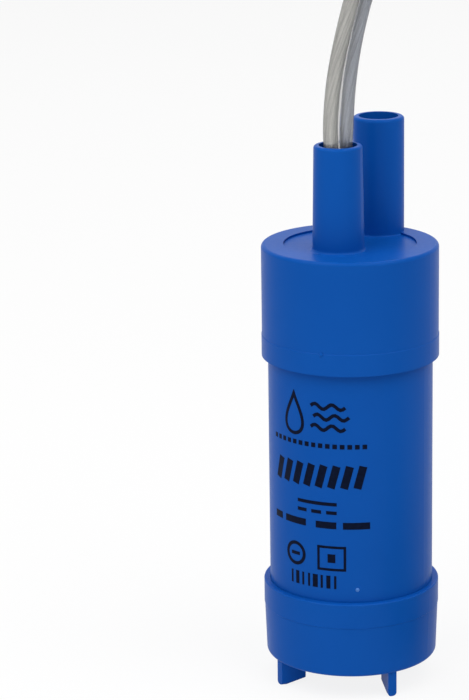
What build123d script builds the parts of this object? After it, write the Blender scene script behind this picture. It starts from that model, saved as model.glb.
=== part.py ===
"""Small submersible 12 V water pump for a caravan's fresh water can.

Millimetres, +Z up along the pump's axis. The origin is on the floor, on the axis.
The cable spout is towards -Y and the hose spigot towards +Y.
"""
from build123d import *
import os
from math import atan2, cos, degrees, pi, radians, sin, sqrt, tan

os.makedirs("parts", exist_ok=True)

# Casing, the tube between the two caps
casing_diameter = 35.3
casing_wall = 1.5
casing_shown = 50.4
casing_end_gap = 3.0
cap_gap = 0.05

# Top cap
top_cap_wall = 1.3
top_cap_height = 24.3
top_cap_band_height = 4.6
top_cap_band_step = 0.1
top_wall = 2.2
top_edge_round = 0.8
rim_width = 4.85
recess_depth = 0.45

# Cable spout and hose spigot, the two pipes on the top cap
pipe_root_round = 0.7
cable_spout_height = 22.0
cable_spout_offset = 5.2
cable_spout_root_radius = 5.5
cable_spout_mouth_radius = 5.15
cable_spout_bore_radius = 4.05
cable_spout_mouth_round = 0.6
hose_spigot_height = 25.0
hose_spigot_inset = 5.6
hose_spigot_radius = 5.5
hose_spigot_bore_radius = 4.25
hose_spigot_mouth_round = 0.7
hose_foot_step = 0.3

# Inlet cap
inlet_cap_wall = 1.3
inlet_cap_height = 16.7
inlet_cap_band_height = 5.4
inlet_cap_band_step = 0.1
inlet_cap_taper = 0.5
inlet_cap_edge_round = 0.8
inlet_cap_rim_round = 0.3
inlet_floor = 2.0
inlet_radius = 4.7

# Feet, four blades under the inlet cap
foot_count = 4
foot_height = 5.4
foot_length = 5.6
foot_thickness = 2.0
foot_flat = 1.4
foot_slope = 16.0
foot_skew = 15.0
foot_inset = 0.55
foot_round = 0.75
first_foot_angle = 57.0

# Rubber rings between the casing and its caps
o_ring_section = 0.8
o_ring_gap = 0.02
o_ring_side_gap = 0.2
o_ring_from_end = 4.0

# Impeller
impeller_side_gap = 2.4
impeller_floor_gap = 1.0
impeller_back_gap = 0.8
vane_count = 6
vane_height = 4.8
vane_thickness = 1.1
vane_inner_radius = 5.0
vane_sweep = 48.0
vane_bulge = 12.0
shroud_thickness = 1.4
hub_radius = 3.0
hub_drop = 4.2

# Diffuser, the ring that carries the motor and lets the water past it
diffuser_thickness = 2.0
diffuser_gap = 0.05
diffuser_skirt = 1.1
port_count = 8
port_angle = 31.0
port_width = 2.1
port_lip = 0.3

# Motor sleeve, a watertight cup round the motor
sleeve_wall = 1.0
sleeve_floor = 5.0
sleeve_seat_step = 2.8
sleeve_seat_height = 2.0
water_gap = 1.15
motor_gap = 0.15
rib_count = 4
rib_width = 1.6
rib_start = 8.6
finger_width = 3.4
boss_length = 2.4
boss_radius = 5.2
boss_gap = 0.1

# Shaft seal and its retaining washer
seal_radius = 4.0
seal_height = 3.2
seal_lip = 0.5
seal_heel = 1.3
seat_gap = 0.02
retainer_thickness = 0.6
retainer_hole_radius = 1.7

# Motor
can_wall = 0.8
can_length = 36.5
can_edge_round = 1.2
can_boss_radius = 5.0
can_boss_length = 2.0
can_screw_hole_radius = 1.3
can_screw_offset = 8.0
bush_radius = 2.9
bush_length = 3.4
shaft_radius = 1.0
shaft_clearance = 0.03
shaft_hole_radius = 1.3
magnet_thickness = 2.5
magnet_overhang = 1.0
magnet_angle = 130.0
magnet_spring_thickness = 0.5
air_gap = 0.55
core_start = 5.6
pole_count = 3
pole_shoe_angle = 102.0
pole_shoe_share = 0.19
pole_neck_share = 0.36
pole_hub_share = 0.34
coil_overhang = 2.1
coil_angle = 84.0
coil_gap = 0.15
coil_round = 0.9
commutator_radius = 3.35
commutator_hub_radius = 2.6
commutator_length = 5.2
commutator_flange_radius = 3.45
commutator_flange = 0.8
commutator_below_cap = 0.9
commutator_gap = 0.2
segment_slot_angle = 9.0
washer_radius = 2.2
washer_thickness = 0.3
washer_gap = 0.1
end_cap_thickness = 2.5
end_cap_boss_height = 2.0
end_cap_boss_radius = 5.0
shaft_top_gap = 0.6

# Brush gear and connections
brush_length = 2.4
brush_width = 2.4
brush_height = 3.0
brush_gap = 0.15
arm_thickness = 0.35
terminal_inset = 2.14
terminal_angle = 48.7
terminal_width = 2.4
terminal_thickness = 0.5
terminal_rise = 0.4
capacitor_radius = 3.6
capacitor_thickness = 2.6
capacitor_gap = 0.5
capacitor_wire_radius = 0.3
inner_lead_radius = 0.8
inner_lead_room = 6.6
motor_resin_thickness = 7.0

# Cable
cable_width = 6.6
potting_drop = 1.0
core_diameter = cable_width / 2
cable_turn = 60.0
lead_runs_share = 0.45
lead_end_radius = 33.0
hank_radii_share = 0.98
gap_step = 1.5

# The cable's free stretch, from the spout up and over to the folded rest
lead_points = [
    (0.0, -5.2, 117.8),
    (0.0, -5.2, 127.0),
    (2.9, -5.2, 141.5),
    (8.2, -5.5, 157.5),
    (18.8, -6.6, 174.5),
    (37.0, -8.0, 185.5),
    (58.5, -10.4, 178.5),
    (69.5, -12.6, 154.0),
    (73.0, -14.4, 127.0),
    (74.5, -15.8, 99.5),
    (75.0, -16.8, 73.5),
    (77.5, -16.4, 52.5),
    (83.6, -13.4, 37.0),
    (92.1, -6.7, 26.0),
]

# The folded rest of the cable, a tied hank of loops that lie on the floor
hank_middle_x = 90.6
hank_loops = 2
hank_step = 7.2
fold_radius = 19.8
waist_radius = 22.0
waist_gap = 0.7
waist_lift = 1.0
fold_corners = 4
waist_corners = 2
tie_width = 5.0
tie_thickness = 0.8
tie_gap = 0.3
bare_length = 6.0
bare_radius = 0.65

# The split ends of the cable, by the hank: routes of the lower and the upper core
core_routes = [
    [(0.0, 0.0, 0.0), (-6.6, -2.27, 0.0), (-16.0, -2.9, 0.0), (-24.0, -1.9, 0.0)],
    [(0.0, 0.0, 0.0), (-5.5, -1.89, 0.0), (-15.6, 2.7, -2.0), (-23.6, 4.1, -3.3)],
]

# One overrun for cuts that pass through a face
overrun = 1.0

# Worked out: radii
casing_radius = casing_diameter / 2
casing_bore = casing_radius - casing_wall
cap_bore = casing_radius + cap_gap
top_cap_radius = cap_bore + top_cap_wall
inlet_cap_radius = cap_bore + inlet_cap_wall
groove_radius = cap_bore - o_ring_section - 2 * o_ring_gap
recess_radius = top_cap_radius - rim_width
top_cap_skin = top_cap_radius - top_cap_band_step
hose_spigot_offset = top_cap_radius - hose_spigot_inset
sleeve_radius = casing_bore - water_gap
sleeve_bore = sleeve_radius - sleeve_wall
sleeve_seat_radius = sleeve_radius - sleeve_seat_step
can_radius = sleeve_bore - motor_gap
can_bore = can_radius - can_wall
magnet_outer = can_bore - 2 * seat_gap
magnet_inner = magnet_outer - magnet_thickness
core_radius = magnet_inner - air_gap
pole_shoe_thickness = core_radius * pole_shoe_share
pole_neck = core_radius * pole_neck_share
pole_hub_radius = core_radius * pole_hub_share
diffuser_radius = casing_bore - diffuser_gap
port_outer = diffuser_radius - diffuser_skirt
port_inner = port_outer - port_lip - port_width
impeller_radius = port_outer - impeller_side_gap
terminal_reach = can_bore - terminal_inset
arm_spread = terminal_reach * cos(radians(terminal_angle))
arm_reach = terminal_reach * sin(radians(terminal_angle))

# Worked out: heights, from the floor up
inlet_floor_top = foot_height + inlet_floor
inlet_cap_top = foot_height + inlet_cap_height
top_cap_bottom = inlet_cap_top + casing_shown
top_face = top_cap_bottom + top_cap_height
ceiling = top_face - top_wall
casing_top = ceiling - casing_end_gap
recess_floor = top_face - recess_depth
cable_mouth = top_face + cable_spout_height
hose_mouth = top_face + hose_spigot_height
potting_top = cable_mouth - potting_drop
vane_bottom = inlet_floor_top + impeller_floor_gap
shroud_bottom = vane_bottom + vane_height
shroud_top = shroud_bottom + shroud_thickness
diffuser_bottom = shroud_top + impeller_back_gap
sleeve_bottom = diffuser_bottom + diffuser_thickness
boss_bottom = sleeve_bottom - boss_length
motor_bottom = sleeve_bottom + sleeve_floor
can_top = motor_bottom + can_length
end_cap_bottom = can_top - end_cap_thickness
end_cap_top = can_top + end_cap_boss_height
commutator_top = end_cap_bottom - commutator_below_cap
commutator_bottom = commutator_top - commutator_length
core_bottom = motor_bottom + core_start
core_top = commutator_bottom - commutator_flange - commutator_gap - coil_overhang
core_length = core_top - core_bottom
magnet_bottom = core_bottom - magnet_overhang
magnet_top = core_top + magnet_overhang
capacitor_middle = end_cap_top + capacitor_gap + capacitor_radius
terminal_top = capacitor_middle + terminal_rise
resin_bottom = terminal_top + inner_lead_room
sleeve_top = resin_bottom + motor_resin_thickness
shaft_top = end_cap_top - shaft_top_gap
shaft_bottom = shroud_bottom - hub_drop

lower_ring_height = inlet_floor_top + o_ring_from_end
upper_ring_height = casing_top - o_ring_from_end

BASE = (Align.CENTER, Align.CENTER, Align.MIN)


def disc(radius, bottom, top, x=0, y=0):
    """Upright cylinder between two heights."""
    return Pos(x, y, bottom) * Cylinder(radius, top - bottom, align=BASE)


def tube(outer, inner, bottom, top):
    """Upright tube on the axis."""
    return disc(outer, bottom, top) - disc(inner, bottom - overrun, top + overrun)


def turned(*points):
    """Solid of revolution about Z of an outline of (radius, height) points."""
    return revolve(Plane.XZ * make_face(Polyline(*points, close=True)), Axis.Z)


def polar(radius, angle):
    """Point at an angle in degrees, measured from -Y towards +X."""
    return (radius * sin(radians(angle)), -radius * cos(radians(angle)))


def sector_face(inner, outer, middle, width):
    """Flat ring sector about the axis, angles measured as polar does."""
    start, end = middle - width / 2, middle + width / 2
    edges = [
        Line(polar(inner, start), polar(outer, start)),
        ThreePointArc(polar(outer, start), polar(outer, middle), polar(outer, end)),
        Line(polar(outer, end), polar(inner, end)),
        ThreePointArc(polar(inner, end), polar(inner, middle), polar(inner, start)),
    ]
    return make_face(edges)


def sector(inner, outer, middle, width, bottom, top):
    """Upright ring sector."""
    return Pos(0, 0, bottom) * extrude(sector_face(inner, outer, middle, width), top - bottom)


def twin_face():
    """Cross-section of the flat twin cable, centred, its width along X."""
    radius = core_diameter / 2
    cores = [Pos(side * radius, 0) * Circle(radius) for side in (-1, 1)]
    web = Rectangle(core_diameter, radius)
    return cores[0] + cores[1] + web


def twin(bottom, top):
    """Straight upright stretch of the cable in its place under the spout."""
    place = Pos(0, -cable_spout_offset, bottom) * Rot(0, 0, cable_turn)
    return place * extrude(twin_face(), top - bottom)


def pipe_root(radius, size):
    """Ring in the corner between a pipe and the recess's floor, with a hollow rounded face."""
    top = recess_floor + size
    reach = radius + size
    hollow = reach - size * cos(pi / 4)
    edges = [
        Line((0, recess_floor), (reach, recess_floor)),
        ThreePointArc((reach, recess_floor), (hollow, top - size * sin(pi / 4)), (radius, top)),
        Line((radius, top), (0, top)),
        Line((0, top), (0, recess_floor)),
    ]
    return revolve(Plane.XZ * make_face(edges), Axis.Z)


def top_cap():
    """Upper cap: cup over the casing's end, its top face sunken inside a rim."""
    band_top = top_cap_bottom + top_cap_band_height
    body = turned(
        (0, top_cap_bottom),
        (top_cap_radius, top_cap_bottom),
        (top_cap_radius, band_top),
        (top_cap_skin, band_top + top_cap_band_step),
        (top_cap_skin, top_face),
        (0, top_face),
    )
    body = fillet(body.edges().filter_by(GeomType.CIRCLE).sort_by(Axis.Z)[-1], top_edge_round)
    body -= disc(recess_radius, recess_floor, top_face + overrun)
    body -= disc(cap_bore, top_cap_bottom - overrun, ceiling)
    return body - cable_bore() - hose_bore()


def cable_bore():
    """Way of the cable through the top cap and its spout."""
    return disc(cable_spout_bore_radius, ceiling - overrun, cable_mouth + overrun, y=-cable_spout_offset)


def hose_bore():
    """Way of the water through the top cap and the hose spigot."""
    return disc(hose_spigot_bore_radius, ceiling - overrun, hose_mouth + overrun, y=hose_spigot_offset)


def cable_spout():
    """Slightly tapered pipe that the cable leaves by."""
    height = cable_mouth - recess_floor
    pipe = Cone(cable_spout_root_radius, cable_spout_mouth_radius, height, align=BASE)
    pipe = fillet(pipe.edges().sort_by(Axis.Z)[-1], cable_spout_mouth_round)
    pipe = Pos(0, 0, recess_floor) * pipe + pipe_root(cable_spout_root_radius, pipe_root_round)
    return Pos(0, -cable_spout_offset) * pipe - cable_bore()


def hose_spigot(cap):
    """Plain pipe for the hose, its foot across the recess, the rim and the rim's rounded edge."""
    pipe = disc(hose_spigot_radius, top_face, hose_mouth)
    pipe = fillet(pipe.edges().sort_by(Axis.Z)[-1], hose_spigot_mouth_round)
    root = pipe_root(hose_spigot_radius, recess_depth)
    foot = disc(hose_spigot_radius + hose_foot_step, top_face - top_edge_round, top_face)
    pipe, root, foot = (Pos(0, hose_spigot_offset) * piece for piece in (pipe, root, foot))
    pipe += root & disc(recess_radius, recess_floor, top_face)
    pipe += foot & tube(top_cap_skin, recess_radius, top_face - top_edge_round, top_face)
    return pipe - cap - hose_bore()


def outer_casing():
    """Plain tube between the caps, with a groove for a rubber ring near each end."""
    body = tube(casing_radius, casing_bore, inlet_floor_top, casing_top)
    half = o_ring_section / 2 + o_ring_side_gap
    for middle in (lower_ring_height, upper_ring_height):
        body -= tube(casing_radius + overrun, groove_radius, middle - half, middle + half)
    return body


def o_ring(middle):
    """Rubber ring between the casing's groove and the cap."""
    return Pos(0, 0, middle) * Torus((groove_radius + cap_bore) / 2, o_ring_section / 2)


def foot():
    """One foot blade, set askew to the radius, its sole rising inwards."""
    outer_end = inlet_cap_radius - inlet_cap_taper - foot_inset
    rise = (foot_length - foot_flat) * tan(radians(foot_slope))
    root = foot_height + inlet_floor / 2
    outline = Polyline(
        (-foot_inset - overrun, 0),
        (foot_flat, 0),
        (foot_length, rise),
        (foot_length, root),
        (-foot_inset - overrun, root),
        close=True,
    )
    blade = extrude(Plane.XZ * make_face(outline), foot_thickness / 2, both=True)
    sides = [edge for edge in blade.edges() if abs(edge.center().Y) > foot_thickness / 4]
    blade = fillet([edge for edge in sides if edge.center().Z < rise], foot_round)
    blade = Pos(outer_end, 0, 0) * Rot(0, 0, 180 - foot_skew) * blade
    return blade & disc(outer_end, 0, root)


def feet(cap):
    """Four blades in a ring, seated on the lower cap's underside."""
    turns = [first_foot_angle - 90 + index * 360 / foot_count for index in range(foot_count)]
    return [Rot(0, 0, turn) * foot() - cap for turn in turns]


def inlet_cap():
    """Lower cap: cup over the casing's end, with the inlet hole in its floor."""
    skin = inlet_cap_radius - inlet_cap_band_step
    band_bottom = inlet_cap_top - inlet_cap_band_height
    base = inlet_cap_radius - inlet_cap_taper
    body = turned(
        (0, foot_height),
        (base, foot_height),
        (skin, band_bottom - inlet_cap_band_step),
        (inlet_cap_radius, band_bottom),
        (inlet_cap_radius, inlet_cap_top),
        (0, inlet_cap_top),
    )
    rings = body.edges().filter_by(GeomType.CIRCLE).sort_by(Axis.Z)
    body = fillet(rings[0], inlet_cap_edge_round)
    rings = body.edges().filter_by(GeomType.CIRCLE).sort_by(Axis.Z)
    body = fillet(rings[-1], inlet_cap_rim_round)
    body -= disc(cap_bore, inlet_floor_top, inlet_cap_top + overrun)
    return body - disc(inlet_radius, foot_height - overrun, inlet_floor_top + overrun)


def vane(index):
    """One backward-curved blade of the impeller, as a flat face."""
    start = index * 360 / vane_count
    middle_radius = (vane_inner_radius + impeller_radius) / 2
    outer_radius = impeller_radius + vane_thickness
    line = ThreePointArc(
        polar(vane_inner_radius, start),
        polar(middle_radius, start - vane_sweep / 2 + vane_bulge),
        polar(outer_radius, start - vane_sweep),
    )
    return trace(line, vane_thickness)


def impeller():
    """Open impeller: shroud on top, six curved blades under it, hub on the shaft."""
    body = disc(impeller_radius, shroud_bottom, shroud_top)
    body += disc(hub_radius, shaft_bottom, shroud_top)
    swept = disc(impeller_radius, vane_bottom, shroud_bottom)
    for index in range(vane_count):
        body += Pos(0, 0, vane_bottom) * extrude(vane(index), vane_height) & swept
    return body - disc(shaft_radius, shaft_bottom - overrun, shroud_top + overrun)


def diffuser():
    """Ring under the motor: skirt on the inlet cap's floor, disc with water ports."""
    body = turned(
        (boss_radius + boss_gap, diffuser_bottom),
        (port_outer, diffuser_bottom),
        (port_outer, inlet_floor_top),
        (diffuser_radius, inlet_floor_top),
        (diffuser_radius, sleeve_bottom),
        (boss_radius + boss_gap, sleeve_bottom),
    )
    for index in range(port_count):
        middle = index * 360 / port_count
        body -= sector(
            port_inner,
            port_outer - port_lip,
            middle,
            port_angle,
            diffuser_bottom - overrun,
            sleeve_bottom + overrun,
        )
    return body


def motor_sleeve():
    """Cup round the motor, with a seal boss below, ribs and four spacer fingers."""
    cone_bottom = sleeve_bottom + sleeve_seat_height
    body = turned(
        (0, boss_bottom),
        (boss_radius, boss_bottom),
        (boss_radius, sleeve_bottom),
        (sleeve_seat_radius, sleeve_bottom),
        (sleeve_seat_radius, cone_bottom),
        (sleeve_radius, motor_bottom),
        (sleeve_radius, sleeve_top),
        (0, sleeve_top),
    )
    reach = diffuser_radius
    for index in range(rib_count):
        middle = 360 / rib_count * (index + 1 / 2)
        rib_angle = degrees(rib_width / reach)
        finger_angle = degrees(finger_width / reach)
        rib_bottom = sleeve_bottom + rib_start
        body += sector(sleeve_bore, reach, middle, rib_angle, rib_bottom, sleeve_top)
        body += sector(sleeve_bore, reach, middle, finger_angle, sleeve_top - finger_width, ceiling)
    body -= disc(sleeve_bore, motor_bottom, sleeve_top)
    recess_bottom = motor_bottom - can_boss_length - boss_gap
    body -= disc(can_boss_radius + boss_gap, recess_bottom, motor_bottom + overrun)
    pocket_top = boss_bottom + retainer_thickness + seal_height
    body -= disc(seal_radius, boss_bottom - overrun, pocket_top)
    body -= disc(shaft_hole_radius, boss_bottom - overrun, motor_bottom + overrun)
    return body


def shaft_seal():
    """Rubber lip seal: a ring with a thin cone that reaches down to the shaft."""
    bottom = boss_bottom + retainer_thickness
    top = bottom + seal_height
    outer = seal_radius - seat_gap
    lip = shaft_radius + shaft_clearance
    return turned(
        (outer, bottom),
        (outer, top),
        (shaft_hole_radius + seal_heel, top),
        (shaft_hole_radius + seal_lip, top - seal_lip),
        (lip, bottom + 2 * seal_lip),
        (lip, bottom + seal_lip),
        (shaft_hole_radius + seal_lip, top - seal_heel - seal_lip),
        (outer - seal_heel, bottom),
    )


def seal_retainer():
    """Steel washer that holds the seal in its pocket."""
    return tube(seal_radius - seat_gap, retainer_hole_radius, boss_bottom, boss_bottom + retainer_thickness)


def motor_can():
    """Drawn steel can with a bearing boss and two screw holes in its front."""
    body = disc(can_radius, motor_bottom, can_top)
    body = fillet(body.edges().filter_by(GeomType.CIRCLE).sort_by(Axis.Z)[0], can_edge_round)
    body -= disc(can_bore, motor_bottom + can_wall, can_top + overrun)
    body += disc(can_boss_radius, motor_bottom - can_boss_length, motor_bottom + can_wall)
    body -= disc(bush_radius, motor_bottom - can_boss_length - overrun, motor_bottom + can_wall + overrun)
    for side in (-1, 1):
        hole = disc(can_screw_hole_radius, motor_bottom - overrun, motor_bottom + can_wall + overrun)
        body -= Pos(side * can_screw_offset) * hole
    return body


def bush(bottom):
    """Sintered bearing for the shaft."""
    return tube(bush_radius - seat_gap, shaft_radius + shaft_clearance, bottom, bottom + bush_length)


def magnets():
    """Two ferrite arcs inside the can."""
    return [
        sector(magnet_inner, magnet_outer, side, magnet_angle, magnet_bottom, magnet_top)
        for side in (0, 180)
    ]


def magnet_springs():
    """Two bent clips that hold the magnets apart, one in each gap between them."""
    bottom = magnet_bottom + magnet_spring_thickness
    top = magnet_top - magnet_spring_thickness
    gap_angle = 180 - magnet_angle
    clips = []
    for side in (90, 270):
        outer = sector(magnet_inner + seat_gap, magnet_outer - seat_gap, side, gap_angle, bottom, top)
        width = gap_angle - 2 * degrees(magnet_spring_thickness / magnet_inner)
        hollow_outer = magnet_outer - magnet_spring_thickness
        outer -= sector(magnet_inner - overrun, hollow_outer, side, width, bottom - overrun, top + overrun)
        clips.append(outer)
    return clips


def rotor_core():
    """Three-pole laminated core."""
    shape = Circle(pole_hub_radius)
    for index in range(pole_count):
        turn = index * 360 / pole_count
        neck_length = core_radius - pole_shoe_thickness / 2
        shape += Rot(0, 0, turn) * Pos(0, -neck_length / 2) * Rectangle(pole_neck, neck_length)
        shape += sector_face(core_radius - pole_shoe_thickness, core_radius, turn, pole_shoe_angle)
    shape -= Circle(shaft_radius)
    return Pos(0, 0, core_bottom) * extrude(shape, core_length)


def rotor_windings():
    """Three coils, one round the neck of each pole."""
    inner = pole_hub_radius + coil_gap
    outer = core_radius - pole_shoe_thickness - coil_gap
    bottom = core_bottom - coil_overhang
    top = core_top + coil_overhang
    coils = []
    for index in range(pole_count):
        turn = index * 360 / pole_count
        coil = sector(inner, outer, turn, coil_angle, bottom, top)
        coil = fillet(coil.edges().filter_by(Axis.Z), coil_round / 2)
        window = Box(pole_neck + 2 * coil_gap, 2 * outer, core_length + 2 * coil_gap)
        middle = (core_bottom + core_top) / 2
        coil -= Rot(0, 0, turn) * Pos(0, -outer, middle) * window
        coils.append(coil)
    return coils


def commutator_hub():
    """Plastic hub that carries the copper segments."""
    bottom = commutator_bottom - commutator_flange
    body = disc(commutator_hub_radius, commutator_bottom, commutator_top)
    body += disc(commutator_flange_radius, bottom, commutator_bottom)
    return body - disc(shaft_radius, bottom - overrun, commutator_top + overrun)


def commutator_segments():
    """Three copper segments round the hub."""
    width = 360 / pole_count - segment_slot_angle
    return [
        sector(
            commutator_hub_radius,
            commutator_radius,
            (index + 1 / 2) * 360 / pole_count,
            width,
            commutator_bottom,
            commutator_top,
        )
        for index in range(pole_count)
    ]


def thrust_washers():
    """One washer over the lower bearing and one under the upper bearing."""
    lower = motor_bottom - can_boss_length + boss_gap + bush_length + washer_gap
    upper = end_cap_bottom - washer_gap - washer_thickness
    return [tube(washer_radius, shaft_radius, bottom, bottom + washer_thickness) for bottom in (lower, upper)]


def motor_shaft():
    """Steel shaft from the impeller's hub to the upper bearing."""
    return disc(shaft_radius, shaft_bottom, shaft_top)


def brush_sides():
    """The turns that place each half of the brush gear, one each side of the shaft."""
    return [Rot(0, 0, 0), Rot(0, 0, 180)]


def arm_height():
    """Middle height of the brushes on the commutator."""
    return commutator_top - brush_height / 2 - washer_thickness


def brush_arms():
    """Two springy strips from the end cap's underside to the back of the brushes."""
    middle = arm_height()
    tip = commutator_radius + brush_gap + brush_length + arm_thickness / 2
    arms = []
    for turn in brush_sides():
        line = Line((arm_spread, -arm_reach), (tip, brush_width / 2))
        strip = extrude(trace(line, arm_thickness), brush_height)
        strip = Pos(0, 0, middle - brush_height / 2) * strip
        tab_height = end_cap_bottom - middle + brush_height / 2
        tab = Box(arm_thickness, terminal_width, tab_height, align=BASE)
        strip += Pos(arm_spread, -arm_reach, middle - brush_height / 2) * tab
        arms.append(turn * strip)
    return arms


def carbon_brushes():
    """Two carbon blocks, hollowed to the commutator's radius."""
    middle = arm_height()
    inner = commutator_radius + brush_gap
    blocks = []
    for turn, arm in zip(brush_sides(), brush_arms()):
        block = Box(brush_length + brush_gap + brush_width / 2, brush_width, brush_height - 2 * brush_gap)
        block = Pos(inner + brush_length / 2, 0, middle) * block
        block -= disc(inner, middle - brush_height, middle + brush_height)
        block = turn * block - arm
        blocks.append(block.solids().sort_by(SortBy.VOLUME)[-1])
    return blocks


def terminal_centres():
    """Where the two terminals stand, over the ends of the brush arms."""
    return [(arm_spread, -arm_reach), (-arm_spread, arm_reach)]


def terminals():
    """Two brass tabs through the end cap."""
    length = terminal_top - end_cap_bottom
    return [
        Pos(x, y, end_cap_bottom) * Box(terminal_thickness, terminal_width, length, align=BASE)
        for x, y in terminal_centres()
    ]


def motor_end_cap():
    """Plastic end of the motor, with the upper bearing's boss and terminal slots."""
    body = disc(can_bore - seat_gap, end_cap_bottom, can_top)
    body += disc(end_cap_boss_radius, end_cap_bottom, end_cap_top)
    body -= disc(bush_radius, end_cap_bottom - overrun, end_cap_top + overrun)
    for tab in terminals():
        body -= tab
    return body


def suppression_capacitor():
    """Disc capacitor between the terminals, with its two wires."""
    body = Rot(90, 0, 0) * Cylinder(capacitor_radius, capacitor_thickness)
    body = Pos(0, 0, capacitor_middle) * Rot(0, 0, -terminal_angle) * body
    inside = capacitor_radius / 2 / terminal_reach
    far = terminal_thickness / 2 + capacitor_wire_radius
    for x, y in terminal_centres():
        end_x = x - (far if x > 0 else -far)
        start = (x * inside, y * inside, capacitor_middle)
        end = (end_x, y, capacitor_middle)
        line = Line(start, end)
        wire = sweep(Plane(origin=start, z_dir=line % 0) * Circle(capacitor_wire_radius), path=line)
        body += wire
    return body


def inner_leads():
    """Two wires from the terminals up to the cores of the cable."""
    leads = []
    middle = (terminal_top + resin_bottom) / 2
    quarter = (resin_bottom - terminal_top) / 4
    for side, (x, y) in zip((-1, 1), terminal_centres()[::-1]):
        turn = radians(cable_turn)
        core_x = side * core_diameter / 2 * cos(turn)
        core_y = side * core_diameter / 2 * sin(turn) - cable_spout_offset
        line = FilletPolyline(
            (x, y, terminal_top),
            (x, y, middle - quarter),
            (core_x, core_y, middle + quarter),
            (core_x, core_y, resin_bottom),
            radius=inner_lead_radius,
        )
        section = Pos(x, y, terminal_top) * Circle(inner_lead_radius)
        leads.append(sweep(section, path=line))
    return leads


def motor_resin():
    """Resin plug that closes the sleeve over the motor, round the cable."""
    return disc(sleeve_bore, resin_bottom, sleeve_top) - twin(resin_bottom - overrun, sleeve_top + overrun)


def cable_potting():
    """Resin that seals the cable in its spout."""
    plug = disc(cable_spout_bore_radius, ceiling, potting_top, y=-cable_spout_offset)
    return plug - twin(ceiling - overrun, potting_top + overrun)


def cable_inner():
    """The cable's stretch from the motor to the mouth of its spout."""
    return twin(resin_bottom, potting_top)


def turn_at(before, corner, after):
    """Half the angle, in radians, by which a route turns at a corner."""
    return radians((Vector(*corner) - Vector(*before)).get_angle(Vector(*after) - Vector(*corner))) / 2


def route_radii(points):
    """Largest tangent arc at each corner: a share of its shorter run."""
    radii = []
    for before, corner, after in zip(points, points[1:], points[2:]):
        shorter = min((Vector(*corner) - Vector(*before)).length, (Vector(*after) - Vector(*corner)).length)
        radii.append(lead_runs_share * shorter / tan(turn_at(before, corner, after)))
    return radii


def round_tube(points, radii, radius):
    """Round tube along straight runs joined by tangent arcs."""
    line = FilletPolyline(*points, radius=radii)
    section = Plane(origin=points[0], z_dir=line % 0) * Circle(radius)
    solid = sweep(section, path=line)
    share = solid.volume / (pi * radius**2 * line.length)
    print(f"tube: length {line.length:.1f}, radii from {min(radii):.1f}, volume share {share:.4f}")
    return solid, line


def cable_lead():
    """Free stretch of the cable, up out of the spout and over to the hank."""
    corners = hank_points()
    points = lead_points + [hank_lead_corner(), corners[0]]
    radii = route_radii(points)[:-1] + [lead_end_radius]
    return round_tube(points, radii, cable_width / 2)[0]


def half_waist():
    """Distance of the drawn-in runs from the hank's middle line."""
    return (cable_width + waist_gap) / 2


def fold_centre():
    """Distance of a fold's centre from the hank's middle."""
    reach = fold_radius + waist_radius
    return sqrt(reach**2 - (half_waist() + waist_radius) ** 2)


def fold_edge():
    """Angle, from the X axis, at which a fold meets the waist's bend."""
    return atan2(half_waist() + waist_radius, fold_centre())


def fold_turn():
    """Turn at each corner of a fold."""
    return 2 * (pi - fold_edge()) / fold_corners


def waist_turn():
    """Turn at each corner of the waist."""
    return (pi - 2 * fold_edge()) / waist_corners


def hank_corners():
    """Corners of the hank's loops, from the top of the right fold, clockwise from above."""
    centre = fold_centre()
    rise = half_waist() + waist_radius
    edge = fold_edge()
    fold_reach = fold_radius / cos(fold_turn() / 2)
    waist_reach = waist_radius / cos(waist_turn() / 2)
    loop = []
    for step in range(fold_corners):
        angle = pi - edge - (step + 1 / 2) * fold_turn()
        loop.append((centre + fold_reach * cos(angle), fold_reach * sin(angle), "right"))
    for step in range(waist_corners):
        angle = edge + (step + 1 / 2) * waist_turn()
        loop.append((waist_reach * cos(angle), waist_reach * sin(angle) - rise, "falling"))
    for step in range(fold_corners):
        angle = -edge - (step + 1 / 2) * fold_turn()
        loop.append((-centre + fold_reach * cos(angle), fold_reach * sin(angle), "left"))
    for step in range(waist_corners):
        angle = pi + edge + (step + 1 / 2) * waist_turn()
        loop.append((waist_reach * cos(angle), waist_reach * sin(angle) + rise, "level"))
    return loop


def hank_lead_corner():
    """The waist corner by which the lead comes onto the hank's top layer."""
    x, y, _ = hank_corners()[-1]
    return (hank_middle_x + x, y, cable_width / 2 + hank_loops * hank_step + waist_lift)


def hank_points():
    """Corners of the whole hank, from the lead's end down to the floor."""
    loop = hank_corners()
    top = cable_width / 2 + hank_loops * hank_step
    points = []
    for turn in range(hank_loops + 1):
        level = top - turn * hank_step
        falls = 0
        for x, y, kind in loop:
            if kind in ("falling", "left"):
                falls += 1
            drop = hank_step * min(falls / (waist_corners + 1), 1)
            lift = waist_lift if kind in ("falling", "level") else 0
            points.append((hank_middle_x + x, y, level - drop + lift))
    points = points[: hank_loops * len(loop) + fold_corners]
    waist_part = waist_radius * tan(waist_turn() / 2)
    fold_part = fold_radius * tan(fold_turn() / 2)
    start = between(hank_lead_corner(), points[0], waist_part / (waist_part + fold_part))
    end = between(points[-2], points[-1], 1 / 2)
    return [start] + points[:-1] + [end]


def between(first, second, share):
    """Point part of the way from one point to another."""
    return tuple(a + (b - a) * share for a, b in zip(first, second))


def hank_radii():
    """Bend radius at each corner of the hank."""
    kinds = [kind for _, _, kind in hank_corners()]
    kinds = (kinds * (hank_loops + 1))[: hank_loops * len(kinds) + fold_corners - 1]
    folds = ("right", "left")
    return [hank_radii_share * (fold_radius if kind in folds else waist_radius) for kind in kinds]


def cable_hank():
    """Rest of the cable, folded to and fro."""
    solid, line = round_tube(hank_points(), hank_radii(), cable_width / 2)
    print(f"hank: least gap to itself {self_gap(line):.2f}")
    return solid


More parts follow.
